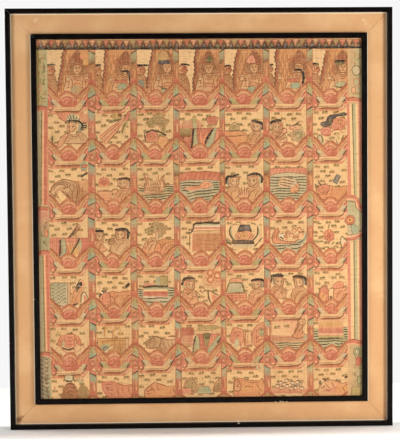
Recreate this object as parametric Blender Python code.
"""A framed painted cloth calendar, made to hang on a wall.

Units are metres, +Z is up and the picture faces -Y. The origin is on the back of the outer frame's top rail,
midway along it, where the frame meets the wall.

From outside in: a slim black outer frame, a wide flat liner covered in tan cloth, a black inner frame that
stands a little in front of the liner, and the painted cloth on its board.
"""

import math
from dataclasses import dataclass

import bmesh
import bpy
from mathutils import Matrix, Vector

# Overall size of the outer frame.
FRAME_WIDTH = 1.100
FRAME_HEIGHT = 1.200

# Outer frame: the face seen from the front, the depth from the wall, and the wall left behind the rebate.
RAIL_FACE = 0.013
RAIL_DEPTH = 0.042
RAIL_WALL = 0.008
RAIL_ARRIS = 0.0008

# Liner: the face between the two frames, its thickness, and how far the outer frame stands in front of it.
LINER_FACE = 0.058
LINER_THICKNESS = 0.018
LINER_SET_BACK = 0.012
LINER_ARRIS = 0.0015

# Inner frame: its face, how far it stands in front of the liner, and the lip that lies on the liner.
INNER_FACE = 0.015
INNER_PROUD = 0.008
INNER_OUTER_LIP = 0.004
INNER_WALL = 0.005
INNER_BEVEL = 0.0025
INNER_ARRIS = 0.0008

# Painted cloth and the board behind it. The cloth lies this far behind the inner frame's front.
CLOTH_SET_BACK = 0.008
CLOTH_THICKNESS = 0.001
PANEL_THICKNESS = 0.006

# Screw eyes for the hanging cord, in the side rails, this far below the frame's top.
EYE_DROP = 0.300
EYE_BORE = 0.0078
EYE_WIRE = 0.0022
EYE_SHANK = 0.0028
EYE_NECK = 0.0025
EYE_GRIP = 0.0055
EYE_RING_SEGMENTS = 28
EYE_WIRE_SEGMENTS = 10
EYE_SHANK_SEGMENTS = 14

# Clearances: between faces that touch, between mitred ends, and round a board in its rebate.
FIT = 0.0003
MITRE_GAP = 0.0003
BOARD_PLAY = 0.0005

# Depths, measured along Y with the wall at 0.
RAIL_FRONT = -RAIL_DEPTH
LINER_FRONT = RAIL_FRONT + LINER_SET_BACK
LINER_BACK = LINER_FRONT + LINER_THICKNESS
INNER_FRONT = LINER_FRONT - INNER_PROUD
CLOTH_FRONT = INNER_FRONT + CLOTH_SET_BACK + FIT
CLOTH_BACK = CLOTH_FRONT + CLOTH_THICKNESS
PANEL_FRONT = CLOTH_BACK + FIT
PANEL_BACK = PANEL_FRONT + PANEL_THICKNESS

# Insets, measured inwards from the outer frame's outer edge.
LINER_OUTER = RAIL_WALL + FIT
LINER_SEEN = RAIL_FACE
INNER_SEEN = RAIL_FACE + LINER_FACE
LINER_INNER = INNER_SEEN + INNER_OUTER_LIP
INNER_BODY = LINER_INNER + FIT
INNER_REBATE = INNER_BODY + INNER_WALL
SIGHT = INNER_SEEN + INNER_FACE
BOARD_EDGE = INNER_REBATE + BOARD_PLAY

# The middle of the frame, with the origin in the middle of the top rail's back face.
CENTRE_Z = RAIL_WALL / 2 - FRAME_HEIGHT / 2


@dataclass(frozen=True)
class Finish:
    """A surface's plain colour and how it takes the light."""

    name: str
    colour: tuple[float, float, float]
    roughness: float
    metallic: float = 0.0

    def material(self):
        """Returns the finish's material, made once."""
        found = bpy.data.materials.get(self.name)
        if found:
            return found
        made = bpy.data.materials.new(self.name)
        made.use_nodes = True
        shader = made.node_tree.nodes["Principled BSDF"]
        shader.inputs["Base Color"].default_value = (*self.colour, 1.0)
        shader.inputs["Roughness"].default_value = self.roughness
        shader.inputs["Metallic"].default_value = self.metallic
        made.diffuse_color = (*self.colour, 1.0)
        return made


BLACK_LACQUER = Finish("black_lacquer", (0.012, 0.011, 0.012), 0.32)
TAN_CLOTH = Finish("tan_cloth", (0.62, 0.37, 0.18), 0.85)
PAINTED_COTTON = Finish("painted_cotton", (0.68, 0.36, 0.19), 0.8)
PLAIN_BOARD = Finish("plain_board", (0.42, 0.30, 0.18), 0.75)
STEEL = Finish("steel", (0.50, 0.49, 0.47), 0.35, 1.0)


def clear_scene():
    """Removes every object and the data that it leaves behind."""
    for item in list(bpy.data.objects):
        bpy.data.objects.remove(item, do_unlink=True)
    for mesh in list(bpy.data.meshes):
        bpy.data.meshes.remove(mesh)
    for material in list(bpy.data.materials):
        bpy.data.materials.remove(material)


def add_object(name, mesh, finish, parent=None):
    """Links a new object that wears the finish."""
    made = bpy.data.objects.new(name, mesh)
    bpy.context.scene.collection.objects.link(made)
    if not mesh.materials:
        mesh.materials.append(finish.material())
    made.parent = parent
    return made


def mesh_from(name, bm):
    """Turns a bmesh into a mesh with its faces pointing out."""
    bmesh.ops.recalc_face_normals(bm, faces=bm.faces)
    mesh = bpy.data.meshes.new(name)
    bm.to_mesh(mesh)
    bm.free()
    return mesh


def chamfered(corner, before, after, width):
    """The two points that take the place of a corner, width back along each of its edges."""
    point = Vector(corner)
    towards = [(Vector(other) - point).normalized() * width for other in (before, after)]
    return [tuple(point + step) for step in towards]


def mitred_length(name, profile, outer_length, outer_half):
    """A length whose section is profile and whose ends are cut at 45 degrees.

    profile holds (inset, depth) pairs. The length runs along X about its own middle, with its outer edge
    facing +Z at outer_half, as the top one of a frame does.
    """
    bm = bmesh.new()
    ends = []
    for side in (-1, 1):
        ring = []
        for inset, depth in profile:
            half = outer_length / 2 - inset - MITRE_GAP * math.sqrt(0.5)
            ring.append(bm.verts.new((side * half, depth, outer_half - inset)))
        ends.append(ring)
    count = len(profile)
    for i in range(count):
        j = (i + 1) % count
        bm.faces.new((ends[0][i], ends[0][j], ends[1][j], ends[1][i]))
    for ring in ends:
        bm.faces.new(ring)
    return mesh_from(name, bm)


def outer_rail_profile():
    """The outer frame's section: square-edged, with a rebate behind for the liner."""
    lip_back = LINER_FRONT - FIT
    front_outer = (0.0, RAIL_FRONT)
    front_inner = (RAIL_FACE, RAIL_FRONT)
    lip_inner = (RAIL_FACE, lip_back)
    back_outer = (0.0, 0.0)
    return [
        *chamfered(front_outer, back_outer, front_inner, RAIL_ARRIS),
        *chamfered(front_inner, front_outer, lip_inner, RAIL_ARRIS),
        lip_inner,
        (RAIL_WALL, lip_back),
        (RAIL_WALL, 0.0),
        back_outer,
    ]


def liner_profile():
    """The liner's section: a flat board with soft front edges."""
    front_outer = (LINER_OUTER, LINER_FRONT)
    front_inner = (LINER_INNER, LINER_FRONT)
    back_inner = (LINER_INNER, LINER_BACK)
    back_outer = (LINER_OUTER, LINER_BACK)
    return [
        *chamfered(front_outer, back_outer, front_inner, LINER_ARRIS),
        *chamfered(front_inner, front_outer, back_inner, LINER_ARRIS),
        back_inner,
        back_outer,
    ]


def inner_rail_profile():
    """The inner frame's section: a lip on the liner, a body through it, and a lip that holds the cloth."""
    cloth_stop = CLOTH_FRONT - FIT
    liner_stop = LINER_FRONT - FIT
    front_outer = (INNER_SEEN, INNER_FRONT)
    front_inner = (SIGHT, INNER_FRONT)
    lip_outer = (INNER_SEEN, liner_stop)
    sight_back = (SIGHT, cloth_stop)
    return [
        *chamfered(front_outer, lip_outer, front_inner, INNER_ARRIS),
        *chamfered(front_inner, front_outer, sight_back, INNER_BEVEL),
        sight_back,
        (INNER_REBATE, cloth_stop),
        (INNER_REBATE, LINER_BACK),
        (INNER_BODY, LINER_BACK),
        (INNER_BODY, liner_stop),
        lip_outer,
    ]


def add_frame(prefix, profile, finish, centre):
    """Four mitred lengths round the picture, each turned into its place about the frame's centre."""
    sides = {
        "top": (0, FRAME_WIDTH, FRAME_HEIGHT),
        "left": (1, FRAME_HEIGHT, FRAME_WIDTH),
        "bottom": (2, FRAME_WIDTH, FRAME_HEIGHT),
        "right": (3, FRAME_HEIGHT, FRAME_WIDTH),
    }
    for side, (quarter_turns, along, across) in sides.items():
        name = f"{prefix}_{side}"
        mesh = mitred_length(name, profile, along, across / 2)
        length = add_object(name, mesh, finish, centre)
        # A quarter turn about -Y takes the top length to the left, seen from the front.
        length.rotation_euler = (0.0, -quarter_turns * math.pi / 2, 0.0)


def add_board(name, front, back, finish, centre):
    """A flat board or cloth that fills the inner frame's rebate."""
    bm = bmesh.new()
    size = Vector((FRAME_WIDTH - 2 * BOARD_EDGE, back - front, FRAME_HEIGHT - 2 * BOARD_EDGE))
    bmesh.ops.create_cube(bm, size=1.0, matrix=Matrix.Diagonal((*size, 1.0)))
    board = add_object(name, mesh_from(name, bm), finish, centre)
    board.location = (0.0, (front + back) / 2, 0.0)
    return board


def ring_mesh(name):
    """The eye's closed ring, lying in XZ about its own centre."""
    bm = bmesh.new()
    mean_radius = (EYE_BORE + EYE_WIRE) / 2
    rings = []
    for i in range(EYE_RING_SEGMENTS):
        turn = 2 * math.pi * i / EYE_RING_SEGMENTS
        ring = []
        for j in range(EYE_WIRE_SEGMENTS):
            around = 2 * math.pi * j / EYE_WIRE_SEGMENTS
            radius = mean_radius + EYE_WIRE / 2 * math.cos(around)
            depth = EYE_WIRE / 2 * math.sin(around)
            ring.append(bm.verts.new((radius * math.cos(turn), depth, radius * math.sin(turn))))
        rings.append(ring)
    for i in range(EYE_RING_SEGMENTS):
        following = rings[(i + 1) % EYE_RING_SEGMENTS]
        for j in range(EYE_WIRE_SEGMENTS):
            k = (j + 1) % EYE_WIRE_SEGMENTS
            bm.faces.new((rings[i][j], rings[i][k], following[k], following[j]))
    return mesh_from(name, bm)


def cylinder_along_x(name, radius, start, end, segments):
    """A closed cylinder from start to end along X."""
    bm = bmesh.new()
    turn = Matrix.Rotation(math.pi / 2, 4, "Y")
    place = Matrix.Translation(((start + end) / 2, 0.0, 0.0)) @ turn
    bmesh.ops.create_cone(
        bm,
        cap_ends=True,
        segments=segments,
        radius1=radius,
        radius2=radius,
        depth=end - start,
        matrix=place,
    )
    return mesh_from(name, bm)


def hidden_helper(name, mesh, place):
    """An object that only shapes another one."""
    helper = bpy.data.objects.new(name, mesh)
    bpy.context.scene.collection.objects.link(helper)
    helper.matrix_world = place
    helper.hide_render = True
    helper.display_type = "WIRE"
    return helper


def add_boolean(target, other, operation):
    """Cuts other from target, or joins it on."""
    step = target.modifiers.new(other.name, "BOOLEAN")
    step.operation = operation
    step.solver = "EXACT"
    step.object = other


def add_hanging_eye(side, name):
    """A screw eye in a side rail's inner face, in the recess behind the liner. side is -1 or 1."""
    ring_radius = EYE_BORE / 2 + EYE_WIRE
    rail_face = FRAME_WIDTH / 2 - RAIL_WALL
    ring_x = rail_face - EYE_NECK - ring_radius
    recess_middle = LINER_BACK / 2
    # The right eye's shank points to +X and the left eye is the same one turned half round.
    turn = Matrix.Rotation(0.0 if side > 0 else math.pi, 4, "Z")
    top = CENTRE_Z + FRAME_HEIGHT / 2
    place = Matrix.Translation((side * ring_x, recess_middle, top - EYE_DROP)) @ turn

    eye = add_object(name, ring_mesh(name), STEEL)
    eye.matrix_world = place
    shank_start = EYE_BORE / 2 + EYE_WIRE / 2
    shank_end = ring_radius + EYE_NECK + EYE_GRIP
    shank = cylinder_along_x(f"{name}_shank", EYE_SHANK / 2, shank_start, shank_end, EYE_SHANK_SEGMENTS)
    add_boolean(eye, hidden_helper(f"{name}_shank", shank, place), "UNION")

    hole_start = ring_radius + EYE_NECK / 2
    hole = cylinder_along_x(
        f"{name}_hole", EYE_SHANK / 2 + FIT, hole_start, shank_end + FIT, EYE_SHANK_SEGMENTS
    )
    rail = bpy.data.objects["outer_rail_right" if side > 0 else "outer_rail_left"]
    add_boolean(rail, hidden_helper(f"{name}_hole", hole, place), "DIFFERENCE")
    for polygon in eye.data.polygons:
        polygon.use_smooth = True


def main():
    clear_scene()
    centre = bpy.data.objects.new("frame_centre", None)
    bpy.context.scene.collection.objects.link(centre)
    centre.location = (0.0, 0.0, CENTRE_Z)

    add_frame("outer_rail", outer_rail_profile(), BLACK_LACQUER, centre)
    add_frame("liner", liner_profile(), TAN_CLOTH, centre)
    add_frame("inner_rail", inner_rail_profile(), BLACK_LACQUER, centre)
    add_board("painted_cloth", CLOTH_FRONT, CLOTH_BACK, PAINTED_COTTON, centre)
    add_board("mount_panel", PANEL_FRONT, PANEL_BACK, PLAIN_BOARD, centre)
    add_hanging_eye(-1, "hanging_eye_left")
    add_hanging_eye(1, "hanging_eye_right")


main()
